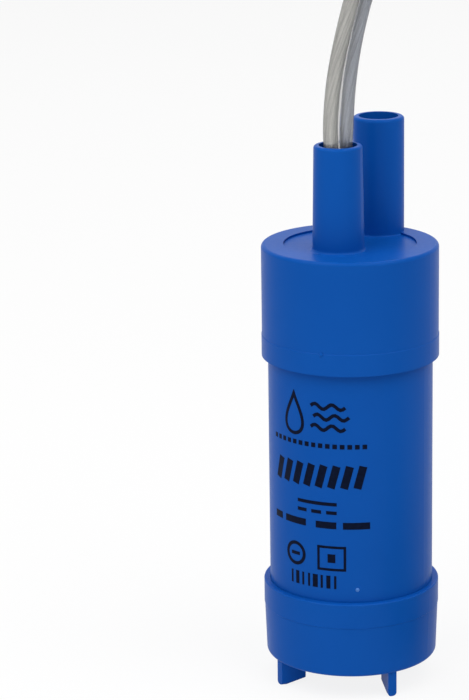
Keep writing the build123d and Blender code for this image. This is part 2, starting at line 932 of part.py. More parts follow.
def self_gap(line):
    """Least gap between the hank's strands, measured on points along its line."""
    count = int(line.length / gap_step)
    points = [line @ (index / count) for index in range(count + 1)]
    apart = int(pi * fold_radius / gap_step / 2)
    least = line.length
    for index, point in enumerate(points):
        for other in points[index + apart :]:
            least = min(least, (point - other).length)
    return least - cable_width


def cable_tie():
    """Band round the waist of the hank."""
    bundle = cable_width + 2 * half_waist()
    upper = cable_width / 2 + (hank_loops - 1 / 2) * hank_step + waist_lift + cable_width / 2
    inner_height = upper + tie_gap - tie_thickness
    middle = tie_thickness + inner_height / 2
    inner_width = bundle + 2 * tie_gap
    inner = RectangleRounded(inner_width, inner_height, cable_width / 2 - tie_thickness)
    band = extrude(Plane.YZ * (offset(inner, tie_thickness) - inner), tie_width / 2, both=True)
    return Pos(hank_middle_x, 0, middle) * band


def cable_cores():
    """The two insulated cores beyond the hank's end, and the lines that they follow."""
    x, y, z = hank_points()[-1]
    tubes = []
    lines = []
    for side, route in zip((-1, 1), core_routes):
        points = [(x + dx, y + dy, z + side * core_diameter / 2 + dz) for dx, dy, dz in route]
        solid, line = round_tube(points, route_radii(points), core_diameter / 2)
        tubes.append(solid)
        lines.append(line)
    return tubes, lines


def bare_ends(lines):
    """Stripped copper at the tips of the cores."""
    tips = [Plane(origin=line @ 1, z_dir=line % 1) for line in lines]
    return [extrude(tip * Circle(bare_radius), bare_length) for tip in tips]


def write(name, shape):
    """Write one sub-part, several solids as a group."""
    solids = shape if isinstance(shape, list) else [shape]
    solids = [solid for item in solids for solid in item.solids()]
    whole = solids[0] if len(solids) == 1 else Compound(children=solids)
    whole.label = name
    export_step(whole, f"parts/{name}.step")


upper_cap = top_cap()
write("top_cap", upper_cap)
write("cable_spout", cable_spout())
write("hose_spigot", hose_spigot(upper_cap))
write("outer_casing", outer_casing())
lower_cap = inlet_cap()
write("inlet_cap", lower_cap)
write("feet", feet(lower_cap))
write("lower_o_ring", o_ring(lower_ring_height))
write("upper_o_ring", o_ring(upper_ring_height))
write("diffuser", diffuser())
write("motor_sleeve", motor_sleeve())
write("shaft_seal", shaft_seal())
write("seal_retainer", seal_retainer())
write("motor_can", motor_can())
write("lower_bush", bush(motor_bottom - can_boss_length + boss_gap))
write("upper_bush", bush(end_cap_bottom + boss_gap))
write("magnets", magnets())
write("magnet_springs", magnet_springs())
write("motor_end_cap", motor_end_cap())
write("terminals", terminals())
write("brush_arms", brush_arms())
write("carbon_brushes", carbon_brushes())
write("suppression_capacitor", suppression_capacitor())
write("inner_leads", inner_leads())
write("motor_resin", motor_resin())
write("motor_shaft", motor_shaft())
write("rotor_core", rotor_core())
write("rotor_windings", rotor_windings())
write("commutator_hub", commutator_hub())
write("commutator_segments", commutator_segments())
write("thrust_washers", thrust_washers())
write("impeller", impeller())
write("cable_inner", cable_inner())
write("cable_potting", cable_potting())
write("cable_lead", cable_lead())
write("cable_hank", cable_hank())
write("cable_tie", cable_tie())
cores, core_lines = cable_cores()
write("cable_cores", cores)
write("bare_ends", bare_ends(core_lines))
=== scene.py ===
"""Looks of a small submersible water pump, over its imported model. All lengths are in metres."""
from math import atan2, cos, pi, radians, sin, sqrt

import bmesh
import bpy
from mathutils import Matrix, Vector


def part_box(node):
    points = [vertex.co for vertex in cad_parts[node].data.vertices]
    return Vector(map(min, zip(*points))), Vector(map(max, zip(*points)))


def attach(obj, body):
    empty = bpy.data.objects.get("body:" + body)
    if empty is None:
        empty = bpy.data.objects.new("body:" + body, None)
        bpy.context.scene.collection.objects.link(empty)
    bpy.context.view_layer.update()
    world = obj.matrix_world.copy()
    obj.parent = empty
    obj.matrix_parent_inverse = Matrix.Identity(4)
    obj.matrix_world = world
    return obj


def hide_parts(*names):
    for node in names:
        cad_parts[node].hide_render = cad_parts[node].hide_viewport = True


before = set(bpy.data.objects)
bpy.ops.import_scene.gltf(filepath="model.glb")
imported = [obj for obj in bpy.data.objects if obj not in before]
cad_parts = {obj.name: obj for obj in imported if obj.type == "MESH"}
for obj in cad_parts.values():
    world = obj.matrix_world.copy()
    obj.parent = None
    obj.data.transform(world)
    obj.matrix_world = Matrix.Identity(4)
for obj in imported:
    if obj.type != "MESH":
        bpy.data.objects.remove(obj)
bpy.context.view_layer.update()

MM = 0.001

# The photograph's view: the point looked past, and the camera's place about it
view_height = 73.6 * MM
view_distance = 620.0 * MM
view_azimuth = radians(30.0)
view_elevation = radians(15.42)
view_roll = radians(0.85)
view_across = 24.8 * MM
view_up = 0.1 * MM
photo_height_px = 700
focal_px = 2895
sensor_height = 36.0

# Floor and light
floor_size = 8.0
floor_lift = 0.86
world_strength = 0.28
lamp_size = 0.9
lamp_distance = 1.1
lamp_height_angle = radians(52)
lamps = [("left", radians(-52), 7.0), ("right", radians(52), 7.0), ("back", radians(180), 3.0)]

# The cable: a flat twin of two cores
cable_width = 6.6 * MM
cable_radius = cable_width / 2
core_radius = cable_width / 4
core_outline_steps = 20
lobe_outline_steps = 13
valley_angle = radians(38)
strand_bundle_radius = 1.2 * MM
strand_count = 12
strand_bulge = 0.07 * MM
strand_pitch = 60.0 * MM
line_steps = 10
core_line_steps = 6

# Which way the cable's width points, at shares of its length: turned about the upright, then across,
# then upright
upright_turns = [(0.0, radians(60)), (0.006, radians(48)), (0.032, radians(64))]
across_from, across_to, upright_from = 0.13, 0.22, 0.31

# The cable's route from the spout's mouth to the folded rest
lead_points = [
    (0.0, -0.0052, 0.1178),
    (0.0, -0.0052, 0.1270),
    (0.0024, -0.0052, 0.1415),
    (0.0074, -0.0055, 0.1575),
    (0.0188, -0.0066, 0.1745),
    (0.0370, -0.0080, 0.1855),
    (0.0585, -0.0104, 0.1785),
    (0.0695, -0.0126, 0.1540),
    (0.0730, -0.0144, 0.1270),
    (0.0745, -0.0158, 0.0995),
    (0.0750, -0.0168, 0.0735),
    (0.0775, -0.0164, 0.0525),
    (0.0836, -0.0134, 0.0370),
    (0.0921, -0.0067, 0.0260),
]

# The folded rest: loops that lie on the floor, drawn in at the waist
hank_middle_x = 90.6 * MM
hank_loops = 2
hank_step = 7.2 * MM
fold_radius = 19.8 * MM
waist_radius = 22.0 * MM
half_waist = 3.65 * MM
waist_lift = 1.0 * MM
fold_corners = 4
waist_corners = 2

# The split ends, from the hank's end: the lower core's route and the upper core's
core_routes = [
    [(0.0, 0.0, 0.0), (-0.0066, -0.00227, 0.0), (-0.0160, -0.0029, 0.0), (-0.0240, -0.0019, 0.0)],
    [(0.0, 0.0, 0.0), (-0.0055, -0.00189, 0.0), (-0.0156, 0.0027, -0.0020), (-0.0236, 0.0041, -0.0033)],
]
bare_length = 6.0 * MM
bare_radius = 0.62 * MM
bare_wires = 7
bare_steps = 12

# The strap about the folded rest's waist: once round, its end lapped over the top
strap_width = 5.0 * MM
strap_thickness = 0.8 * MM
strap_gap = 0.12 * MM
strap_lap = 9.0 * MM
strap_ramp = 2.5 * MM
strap_step = 0.8 * MM
strap_edge = 0.15 * MM
strap_reach = 3.5 * MM
strap_round_steps = 48

# The black print on the casing: plain marks, heights above the lower cap's rim
casing_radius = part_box("outer_casing")[1][0]
print_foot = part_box("inlet_cap")[1][2]
print_proud = 0.03 * MM
print_sunk = 0.02 * MM
print_step = 0.5 * MM
print_mitre = 0.5
thin_line = 0.55 * MM
medium_line = 0.75 * MM
bold_line = 1.7 * MM
print_left = -11.3 * MM
print_right = 12.6 * MM

# Small moulding marks: on which face, the angle from its front line, and the height
pip_radius = 0.5 * MM
pip_rise = 0.2 * MM
pip_sunk = 0.04 * MM
pip_crown = 0.15
pip_rings = 3
pip_sides = 14
pip_places = [("outer_casing", radians(32.0), 25.0 * MM), ("top_cap", radians(9.0), 77.0 * MM)]

# Colours, from dark to light, of what isn't plain
housing_blue = ((0.0026, 0.080, 0.385), (0.0034, 0.086, 0.405))
copper_turns = ((0.30, 0.09, 0.03), (0.62, 0.24, 0.10))
strap_black = ((0.012, 0.012, 0.013), (0.035, 0.035, 0.037))
clear_white = ((0.74, 0.74, 0.74), (0.90, 0.90, 0.89))
# painted shade: the dark grey that the cable's plastic turns to where it is seen edge-on
painted_edge_shade = (0.12, 0.12, 0.12)
warm_metal = ((0.44, 0.435, 0.405), (0.86, 0.85, 0.80))
cool_metal = ((0.29, 0.32, 0.38), (0.58, 0.63, 0.75))
floor_white = ((0.88, 0.88, 0.88), (0.90, 0.90, 0.90))

# Plain materials: colours from dark to light, scale of the mottling, finish, and the model's nodes that
# wear them; the ink and the lighter blue of a painted highlight are for the marks made here
plain_looks = {
    "rubber": {
        "colours": ((0.010, 0.010, 0.010), (0.022, 0.022, 0.022)),
        "scale": 700, "roughness": 0.75, "gloss": 0.3,
        "nodes": ("lower_o_ring", "upper_o_ring", "shaft_seal"),
    },
    "grey_plastic": {
        "colours": ((0.26, 0.27, 0.29), (0.33, 0.34, 0.36)),
        "scale": 300, "roughness": 0.45,
        "nodes": ("diffuser", "motor_sleeve", "commutator_hub", "motor_end_cap"),
    },
    "white_plastic": {
        "colours": ((0.68, 0.68, 0.64), (0.78, 0.78, 0.75)),
        "scale": 300, "roughness": 0.4,
        "nodes": ("impeller", "thrust_washers"),
    },
    "steel": {
        "colours": ((0.42, 0.42, 0.43), (0.60, 0.60, 0.61)),
        "scale": 160, "roughness": 0.35, "metallic": 1.0,
        "stretch": (1, 1, 12),
        "nodes": ("motor_can", "motor_shaft", "seal_retainer", "magnet_springs", "rotor_core"),
    },
    "bronze": {
        "colours": ((0.42, 0.25, 0.09), (0.60, 0.40, 0.17)),
        "scale": 400, "roughness": 0.4, "metallic": 1.0,
        "nodes": ("lower_bush", "upper_bush", "terminals", "brush_arms"),
    },
    "copper": {
        "colours": ((0.55, 0.21, 0.09), (0.75, 0.34, 0.17)),
        "scale": 300, "roughness": 0.3, "metallic": 1.0,
        "nodes": ("commutator_segments",),
    },
    "ferrite": {
        "colours": ((0.030, 0.030, 0.033), (0.060, 0.060, 0.065)),
        "scale": 500, "roughness": 0.6,
        "nodes": ("magnets",),
    },
    "carbon": {
        "colours": ((0.015, 0.015, 0.016), (0.035, 0.035, 0.037)),
        "scale": 900, "roughness": 0.6,
        "nodes": ("carbon_brushes",),
    },
    "ceramic": {
        "colours": ((0.30, 0.13, 0.03), (0.42, 0.20, 0.06)),
        "scale": 300, "roughness": 0.2,
        "nodes": ("suppression_capacitor",),
    },
    "resin": {
        "colours": ((0.002, 0.022, 0.110), (0.004, 0.032, 0.150)),
        "scale": 250, "roughness": 0.25, "gloss": 0.3,
        "nodes": ("motor_resin", "cable_potting"),
    },
    "insulation": {
        "colours": ((0.30, 0.02, 0.015), (0.42, 0.04, 0.03)),
        "scale": 500, "roughness": 0.4,
        "nodes": ("inner_leads",),
    },
    "inner_pvc": {
        "colours": ((0.40, 0.39, 0.36), (0.50, 0.49, 0.46)),
        "scale": 500, "roughness": 0.3,
        "nodes": ("cable_inner",),
    },
    "print_ink": {
        "colours": ((0.0015, 0.004, 0.016), (0.003, 0.007, 0.026)),
        "scale": 1500, "roughness": 0.45, "gloss": 0.04,
        "nodes": (),
    },
    # painted highlight: a lighter blue that stands for a glint on the casing's pip
    "glint_painted_plastic": {
        "colours": ((0.04, 0.16, 0.50), (0.08, 0.23, 0.60)),
        "scale": 1800, "roughness": 0.3, "gloss": 0.3,
        "nodes": (),
    },
}
blue_nodes = ("top_cap", "cable_spout", "hose_spigot", "outer_casing", "inlet_cap", "feet")


def new_material(name):
    """Node material, with its nodes, its links and its principled shader."""
    material = bpy.data.materials.new(name)
    material.use_nodes = True
    nodes = material.node_tree.nodes
    return material, nodes, material.node_tree.links, nodes["Principled BSDF"]


def noise_node(nodes, links, scale, detail, stretch=(1, 1, 1), space="Object"):
    """Noise over the object's own space or its unrolled surface, stretched along its axes."""
    place = nodes.new("ShaderNodeTexCoord")
    mapping = nodes.new("ShaderNodeMapping")
    mapping.inputs["Scale"].default_value = stretch
    noise = nodes.new("ShaderNodeTexNoise")
    noise.inputs["Scale"].default_value = scale
    noise.inputs["Detail"].default_value = detail
    links.new(place.outputs[space], mapping.inputs["Vector"])
    links.new(mapping.outputs["Vector"], noise.inputs["Vector"])
    return noise


def ramp_between(nodes, links, factor, colours):
    """Colour that goes from dark to light with a factor."""
    ramp = nodes.new("ShaderNodeValToRGB")
    for element, position, colour in zip(ramp.color_ramp.elements, (0.3, 0.7), colours):
        element.position = position
        element.color = (*colour, 1)
    links.new(factor, ramp.inputs["Fac"])
    return ramp.outputs["Color"]


def add_bump(nodes, links, shader, height, distance, strength):
    """Small relief from a height."""
    bump = nodes.new("ShaderNodeBump")
    bump.inputs["Distance"].default_value = distance
    bump.inputs["Strength"].default_value = strength
    links.new(height, bump.inputs["Height"])
    links.new(bump.outputs["Normal"], shader.inputs["Normal"])


def plain_material(name):
    """Material of a moulded, cast or drawn piece: mottled colour and a fine relief."""
    look = plain_looks[name]
    material, nodes, links, shader = new_material(name)
    stretch = look.get("stretch", (1, 1, 1))
    noise = noise_node(nodes, links, scale=look["scale"], detail=4.0, stretch=stretch)
    colour = ramp_between(nodes, links, noise.outputs["Fac"], look["colours"])
    links.new(colour, shader.inputs["Base Color"])
    add_bump(nodes, links, shader, noise.outputs["Fac"], distance=0.02 * MM, strength=0.4)
    shader.inputs["Roughness"].default_value = look["roughness"]
    shader.inputs["Metallic"].default_value = look.get("metallic", 0.0)
    shader.inputs["Specular IOR Level"].default_value = look.get("gloss", 0.5)
    return material


def blue_plastic():
    """Moulded blue plastic: even colour, a soft sheen and a faintly rippled skin."""
    material, nodes, links, shader = new_material("blue_plastic")
    broad = noise_node(nodes, links, scale=45.0, detail=2.0)
    colour = ramp_between(nodes, links, broad.outputs["Fac"], housing_blue)
    links.new(colour, shader.inputs["Base Color"])
    fine = noise_node(nodes, links, scale=900.0, detail=3.0)
    rough = nodes.new("ShaderNodeMapRange")
    rough.inputs["To Min"].default_value = 0.30
    rough.inputs["To Max"].default_value = 0.40
    links.new(fine.outputs["Fac"], rough.inputs["Value"])
    links.new(rough.outputs["Result"], shader.inputs["Roughness"])
    add_bump(nodes, links, shader, fine.outputs["Fac"], distance=0.01 * MM, strength=0.25)
    shader.inputs["Specular IOR Level"].default_value = 0.05
    return material


def wound_copper():
    """Enamelled copper wire, laid in turns one above the other."""
    material, nodes, links, shader = new_material("wound_copper")
    place = nodes.new("ShaderNodeTexCoord")
    wave = nodes.new("ShaderNodeTexWave")
    wave.bands_direction = "Z"
    wave.inputs["Scale"].default_value = 450.0
    wave.inputs["Distortion"].default_value = 0.6
    links.new(place.outputs["Object"], wave.inputs["Vector"])
    colour = ramp_between(nodes, links, wave.outputs["Fac"], copper_turns)
    links.new(colour, shader.inputs["Base Color"])
    add_bump(nodes, links, shader, wave.outputs["Fac"], distance=0.1 * MM, strength=0.8)
    shader.inputs["Roughness"].default_value = 0.3
    shader.inputs["Metallic"].default_value = 0.8
    return material


def woven_strap():
    """Black woven band of the cable's tie."""
    material, nodes, links, shader = new_material("woven_strap")
    place = nodes.new("ShaderNodeTexCoord")
    weave = nodes.new("ShaderNodeTexChecker")
    weave.inputs["Scale"].default_value = 1600.0
    for name, colour in zip(("Color1", "Color2"), strap_black):
        weave.inputs[name].default_value = (*colour, 1)
    links.new(place.outputs["Object"], weave.inputs["Vector"])
    links.new(weave.outputs["Color"], shader.inputs["Base Color"])
    add_bump(nodes, links, shader, weave.outputs["Fac"], distance=0.1 * MM, strength=0.6)
    shader.inputs["Roughness"].default_value = 0.85
    shader.inputs["Specular IOR Level"].default_value = 0.2
    return material


def clear_pvc():
    """Clear soft plastic of the cable: a little cloudy, with painted shade that darkens its edges,
    faintly drawn along.
    """
    material, nodes, links, shader = new_material("clear_pvc")
    noise = noise_node(nodes, links, scale=1.0, detail=3.0, stretch=(24.0, 0.5, 1.0), space="UV")
    colour = ramp_between(nodes, links, noise.outputs["Fac"], clear_white)
    # painted shade: the base colour darkens towards the edges that are seen edge-on
    edge = nodes.new("ShaderNodeLayerWeight")
    edge.inputs["Blend"].default_value = 0.45
    edge_shade_mix = nodes.new("ShaderNodeMix")
    edge_shade_mix.data_type = "RGBA"
    links.new(edge.outputs["Facing"], edge_shade_mix.inputs["Factor"])
    inside, edge_shade_colour = (socket for socket in edge_shade_mix.inputs if socket.type == "RGBA")
    links.new(colour, inside)
    edge_shade_colour.default_value = (*painted_edge_shade, 1)
    mixed = next(socket for socket in edge_shade_mix.outputs if socket.type == "RGBA")
    links.new(mixed, shader.inputs["Base Color"])
    add_bump(nodes, links, shader, noise.outputs["Fac"], distance=0.08 * MM, strength=0.5)
    shader.inputs["Roughness"].default_value = 0.2
    shader.inputs["IOR"].default_value = 1.5
    shader.inputs["Transmission Weight"].default_value = 0.84
    return material


def strand_metal(name, colours):
    """Fine bare strands: streaks of dark and light along the bundle."""
    material, nodes, links, shader = new_material(name)
    noise = noise_node(nodes, links, scale=1.0, detail=4.0, stretch=(14.0, 0.4, 1.0), space="UV")
    colour = ramp_between(nodes, links, noise.outputs["Fac"], colours)
    links.new(colour, shader.inputs["Base Color"])
    shader.inputs["Metallic"].default_value = 0.35
    shader.inputs["Roughness"].default_value = 0.45
    return material


def paint(material, *names):
    """Give the material to whole nodes of the model."""
    for name in names:
        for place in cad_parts[name].material_slots:
            place.material = material


def paint_all():
    """A material for every node of the model that stays."""
    paint(blue_plastic(), *blue_nodes)
    paint(wound_copper(), "rotor_windings")
    for name, look in plain_looks.items():
        paint(plain_material(name), *look["nodes"])


def set_camera():
    """Camera at the photograph's viewpoint."""
    right = Vector((cos(view_azimuth), sin(view_azimuth), 0))
    away = Vector((-sin(view_azimuth), cos(view_azimuth), 0))
    up = sin(view_elevation) * away + cos(view_elevation) * Vector((0, 0, 1))
    back = -cos(view_elevation) * away + sin(view_elevation) * Vector((0, 0, 1))
    place = Vector((0, 0, view_height)) + view_distance * back - view_across * right - view_up * up
    rolled_right = cos(view_roll) * right - sin(view_roll) * up
    rolled_up = sin(view_roll) * right + cos(view_roll) * up
    data = bpy.data.cameras.new("camera")
    data.sensor_fit = "VERTICAL"
    data.sensor_height = sensor_height
    data.lens = focal_px / photo_height_px * sensor_height
    data.clip_start = 0.01
    camera = bpy.data.objects.new("camera", data)
    turned = Matrix((rolled_right, rolled_up, back)).transposed().to_4x4()
    camera.matrix_world = Matrix.Translation(place) @ turned
    bpy.context.scene.collection.objects.link(camera)
    bpy.context.scene.camera = camera


def seen_directly(nodes, links):
    """One where the camera, gloss or clear plastic meets the surface, nought for its light on others."""
    path = nodes.new("ShaderNodeLightPath")
    seen = path.outputs["Is Camera Ray"]
    for kind in ("Is Glossy Ray", "Is Transmission Ray"):
        either = nodes.new("ShaderNodeMath")
        either.operation = "MAXIMUM"
        links.new(seen, either.inputs[0])
        links.new(path.outputs[kind], either.inputs[1])
        seen = either.outputs[0]
    return seen


def set_floor():
    """Plain pale floor, seen near white, that keeps a soft shadow."""
    material, nodes, links, shader = new_material("floor_paint")
    noise = noise_node(nodes, links, scale=6.0, detail=2.0)
    colour = ramp_between(nodes, links, noise.outputs["Fac"], floor_white)
    links.new(colour, shader.inputs["Base Color"])
    shader.inputs["Roughness"].default_value = 0.9
    shader.inputs["Specular IOR Level"].default_value = 0.0
    white = nodes.new("ShaderNodeEmission")
    white.inputs["Color"].default_value = (1, 1, 1, 1)
    white.inputs["Strength"].default_value = 1.0
    share = nodes.new("ShaderNodeMath")
    share.operation = "MULTIPLY"
    share.inputs[1].default_value = floor_lift
    links.new(seen_directly(nodes, links), share.inputs[0])
    mix = nodes.new("ShaderNodeMixShader")
    links.new(share.outputs[0], mix.inputs[0])
    links.new(shader.outputs[0], mix.inputs[1])
    links.new(white.outputs[0], mix.inputs[2])
    links.new(mix.outputs[0], nodes["Material Output"].inputs["Surface"])
    mesh = bpy.data.meshes.new("floor")
    half = floor_size / 2
    corners = [(-half, -half, 0), (half, -half, 0), (half, half, 0), (-half, half, 0)]
    mesh.from_pydata(corners, [], [(0, 1, 2, 3)])
    mesh.materials.append(material)
    floor = bpy.data.objects.new("floor", mesh)
    bpy.context.scene.collection.objects.link(floor)


def set_world():
    """Even pale surroundings, white where the camera, gloss or clear plastic meets them."""
    world = bpy.data.worlds.new("studio")
    world.use_nodes = True
    nodes, links = world.node_tree.nodes, world.node_tree.links
    nodes.clear()
    mix = nodes.new("ShaderNodeMixShader")
    links.new(seen_directly(nodes, links), mix.inputs[0])
    for index, strength in ((1, world_strength), (2, 1.0)):
        light = nodes.new("ShaderNodeBackground")
        light.inputs["Color"].default_value = (1, 1, 1, 1)
        light.inputs["Strength"].default_value = strength
        links.new(light.outputs[0], mix.inputs[index])
    output = nodes.new("ShaderNodeOutputWorld")
    links.new(mix.outputs[0], output.inputs["Surface"])
    bpy.context.scene.world = world
    bpy.context.scene.view_settings.view_transform = "Standard"


def set_lamps():
    """Large soft lamps above: one each side of the camera, and a weaker one behind the pump."""
    for name, lamp_turn, power in lamps:
        data = bpy.data.lights.new(f"softbox_{name}", "AREA")
        data.size = lamp_size
        data.energy = power
        lamp = bpy.data.objects.new(f"softbox_{name}", data)
        turn = view_azimuth + lamp_turn
        level = cos(lamp_height_angle)
        direction = Vector((level * sin(turn), -level * cos(turn), sin(lamp_height_angle)))
        lamp.location = Vector((0, 0, view_height)) + direction * lamp_distance
        lamp.rotation_euler = direction.to_track_quat("Z", "Y").to_euler()
        bpy.context.scene.collection.objects.link(lamp)


def hank_route():
    """Corners of the folded rest, from the lead's last corner down to the floor."""
    rise = half_waist + waist_radius
    centre = sqrt((fold_radius + waist_radius) ** 2 - rise**2)
    edge = atan2(rise, centre)
    fold_turn = 2 * (pi - edge) / fold_corners
    waist_turn = (pi - 2 * edge) / waist_corners
    fold_reach = fold_radius / cos(fold_turn / 2)
    waist_reach = waist_radius / cos(waist_turn / 2)
    loop = []
    for step in range(fold_corners):
        angle = pi - edge - (step + 1 / 2) * fold_turn
        loop.append((centre + fold_reach * cos(angle), fold_reach * sin(angle), "right"))
    for step in range(waist_corners):
        angle = edge + (step + 1 / 2) * waist_turn
        loop.append((waist_reach * cos(angle), waist_reach * sin(angle) - rise, "falling"))
    for step in range(fold_corners):
        angle = -edge - (step + 1 / 2) * fold_turn
        loop.append((-centre + fold_reach * cos(angle), fold_reach * sin(angle), "left"))
    for step in range(waist_corners):
        angle = pi + edge + (step + 1 / 2) * waist_turn
        loop.append((waist_reach * cos(angle), waist_reach * sin(angle) + rise, "level"))
    top = cable_radius + hank_loops * hank_step
    points = [(hank_middle_x + loop[-1][0], loop[-1][1], top + waist_lift)]
    for turn in range(hank_loops + 1):
        falls = 0
        for x, y, kind in loop:
            if kind in ("falling", "left"):
                falls += 1
            drop = hank_step * (turn + min(falls / (waist_corners + 1), 1))
            lift = waist_lift if kind in ("falling", "level") else 0
            points.append((hank_middle_x + x, y, top - drop + lift))
    points = points[: 1 + hank_loops * len(loop) + fold_corners]
    end = tuple((a + b) / 2 for a, b in zip(points[-2], points[-1]))
    return points[:-1] + [end]


def spline_points(points, resolution):
    """Points along the smooth line that a route's corners control."""
    curve = bpy.data.curves.new("route", "CURVE")
    curve.dimensions = "3D"
    curve.resolution_u = resolution
    spline = curve.splines.new("NURBS")
    spline.points.add(len(points) - 1)
    for place, point in zip(spline.points, points):
        place.co = (*point, 1.0)
    spline.order_u = 3
    spline.use_endpoint_u = True
    guide = bpy.data.objects.new("route", curve)
    bpy.context.scene.collection.objects.link(guide)
    mesh = bpy.data.meshes.new_from_object(guide)
    line = [vertex.co.copy() for vertex in mesh.vertices]
    bpy.data.objects.remove(guide)
    bpy.data.curves.remove(curve)
    bpy.data.meshes.remove(mesh)
    return line


def frames_along(line, keys):
    """Tangent and width direction at each point, eased between keys of (share of length, direction)."""
    lengths = [0.0]
    for first, second in zip(line, line[1:]):
        lengths.append(lengths[-1] + (second - first).length)
    frames = []
    for index, length in enumerate(lengths):
        share = length / lengths[-1]
        after = next((i for i, (key, _) in enumerate(keys) if key >= share), len(keys) - 1)
        start, end = keys[max(after - 1, 0)], keys[after]
        span = end[0] - start[0]
        part = (share - start[0]) / span if span > 0 else 0
        width = start[1].lerp(end[1], part * part * (3 - 2 * part))
        tangent = (line[min(index + 1, len(line) - 1)] - line[max(index - 1, 0)]).normalized()
        width = (width - width.dot(tangent) * tangent).normalized()
        frames.append((tangent, width))
    return frames


def swept(name, line, frames, outline, twist_pitch=None, centre=0.0):
    """Closed tube of an outline of (across, through) that follows a line and may twist about a centre."""
    mesh = bpy.data.meshes.new(name)
    build = bmesh.new()
    layer = build.loops.layers.uv.new("UVMap")
    rings = []
    along = [0.0]
    for index, (point, (tangent, width)) in enumerate(zip(line, frames)):
        if index:
            along.append(along[-1] + (point - line[index - 1]).length)
        through = tangent.cross(width)
        turn = 2 * pi * along[-1] / twist_pitch if twist_pitch else 0.0
        ring = []
        for across, deep in outline:
            offset = across - centre
            turned = centre + offset * cos(turn) - deep * sin(turn)
            sunk = offset * sin(turn) + deep * cos(turn)
            ring.append(build.verts.new(point + turned * width + sunk * through))
        rings.append(ring)
    count = len(outline)
    for index, (ring, after) in enumerate(zip(rings, rings[1:])):
        for side in range(count):
            corners = (ring[side], ring[(side + 1) % count], after[(side + 1) % count], after[side])
            face = build.faces.new(corners)
            face.smooth = True
            places = ((side, index), (side + 1, index), (side + 1, index + 1), (side, index + 1))
            for loop, (around, step) in zip(face.loops, places):
                loop[layer].uv = (around / count, along[step] / cable_width)
    build.faces.new(list(reversed(rings[0])))
    build.faces.new(rings[-1])
    return finish_mesh(name, mesh, build)


def finish_mesh(name, mesh, build):
    """Object of a mesh built by hand, its faces outwards."""
    bmesh.ops.recalc_face_normals(build, faces=build.faces)
    build.to_mesh(mesh)
    build.free()
    piece = bpy.data.objects.new(name, mesh)
    bpy.context.scene.collection.objects.link(piece)
    return piece


def bundle_outline(radius, bulge, wires, centre=0.0):
    """Round outline with one bulge for each wire in its outer ring."""
    steps = wires * 4
    points = []
    for index in range(steps):
        angle = 2 * pi * index / steps
        reach = radius - bulge + bulge * cos(wires * angle)
        points.append((centre + reach * cos(angle), reach * sin(angle)))
    return points


def twin_outline(radius, steps):
    """Outline of the flat twin cable: two round lobes with a valley each side between them."""
    points = []
    for centre, start in ((radius, -(pi - valley_angle)), (-radius, valley_angle)):
        span = 2 * (pi - valley_angle)
        for index in range(steps):
            angle = start + span * index / (steps - 1)
            points.append((centre + radius * cos(angle), radius * sin(angle)))
    return points


def circle(radius, count, centre=(0.0, 0.0)):
    """Round outline."""
    turns = [2 * pi * index / count for index in range(count)]
    return [(centre[0] + radius * cos(turn), centre[1] + radius * sin(turn)) for turn in turns]


def width_keys():
    """Which way the cable's width points, at shares of its length."""
    across, upright = Vector((0, 1, 0)), Vector((0, 0, 1))
    keys = [(share, Vector((cos(turn), sin(turn), 0))) for share, turn in upright_turns]
    return [*keys, (across_from, across), (across_to, across), (upright_from, upright), (1.0, upright)]


def cable():
    """The clear twin cable, from the spout to its split ends."""
    route = lead_points + hank_route()
    line = spline_points(route, line_steps)
    frames = frames_along(line, width_keys())
    pvc = clear_pvc()
    jacket = swept("cable_jacket", line, frames, twin_outline(core_radius, lobe_outline_steps))
    jacket.data.materials.append(pvc)
    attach(jacket, "housing")
    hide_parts("cable_lead", "cable_hank")
    warm = strand_metal("tinned_strands", warm_metal)
    cool = strand_metal("cool_strands", cool_metal)
    for name, side, metal in (("left", -1, warm), ("right", 1, cool)):
        outline = bundle_outline(strand_bundle_radius, strand_bulge, strand_count, side * core_radius)
        bundle = swept(f"strands_{name}", line, frames, outline, strand_pitch, side * core_radius)
        bundle.data.materials.append(metal)
        bundle.parent = jacket
    hank_top = 2 * cable_radius + hank_loops * hank_step + waist_lift
    strap = tie_strap([
        point for point in line if abs(point.x - hank_middle_x) < strap_reach and point.z < hank_top
    ])
    ends = split_ends(route[-1], pvc, (warm, cool))


def tight_line(middles, radius):
    """Shortest closed line round circles of one radius, through points of (across, height)."""
    spots = sorted(spot for middle in middles for spot in circle(radius, strap_round_steps, middle))
    line = []
    for ordered in (spots, spots[::-1]):
        chain = []
        for spot in ordered:
            while len(chain) > 1:
                (x, y), (near_x, near_y) = chain[-2:]
                if (near_x - x) * (spot[1] - y) - (near_y - y) * (spot[0] - x) > 0:
                    break
                chain.pop()
            chain.append(spot)
        line.extend(Vector(spot) for spot in chain[:-1])
    return line


def strap_route(held):
    """Middle line of the strap: tightly round the held stretches, its end lapped over its start."""
    middles = [(point.y, point.z + side * core_radius) for point in held for side in (-1, 1)]
    corners = tight_line(middles, core_radius + strap_gap + strap_thickness / 2)
    first = max(range(len(corners)), key=lambda index: corners[index].y)
    corners = corners[first:] + corners[:first]
    places = []
    for corner, after in zip(corners, corners[1:] + corners[:1]):
        way = after - corner
        outwards = Vector((way.y, -way.x)).normalized()
        parts = max(1, round(way.length / strap_step))
        places.extend((corner + way * part / parts, outwards) for part in range(parts))
    lengths = [0.0]
    for (place, _), (after, _) in zip(places, places[1:] + places[:1]):
        lengths.append(lengths[-1] + (after - place).length)
    around = lengths[-1]
    lapped = [(length + around, place) for length, place in zip(lengths, places) if length < strap_lap]
    route = []
    for length, (place, outwards) in [*zip(lengths, places), *lapped]:
        rise = min(max((length - around) / strap_ramp + 1, 0), 1)
        lift = (strap_thickness + strap_gap) * rise * rise * (3 - 2 * rise)
        route.append(Vector((hank_middle_x, *(place + outwards * lift))))
    return route


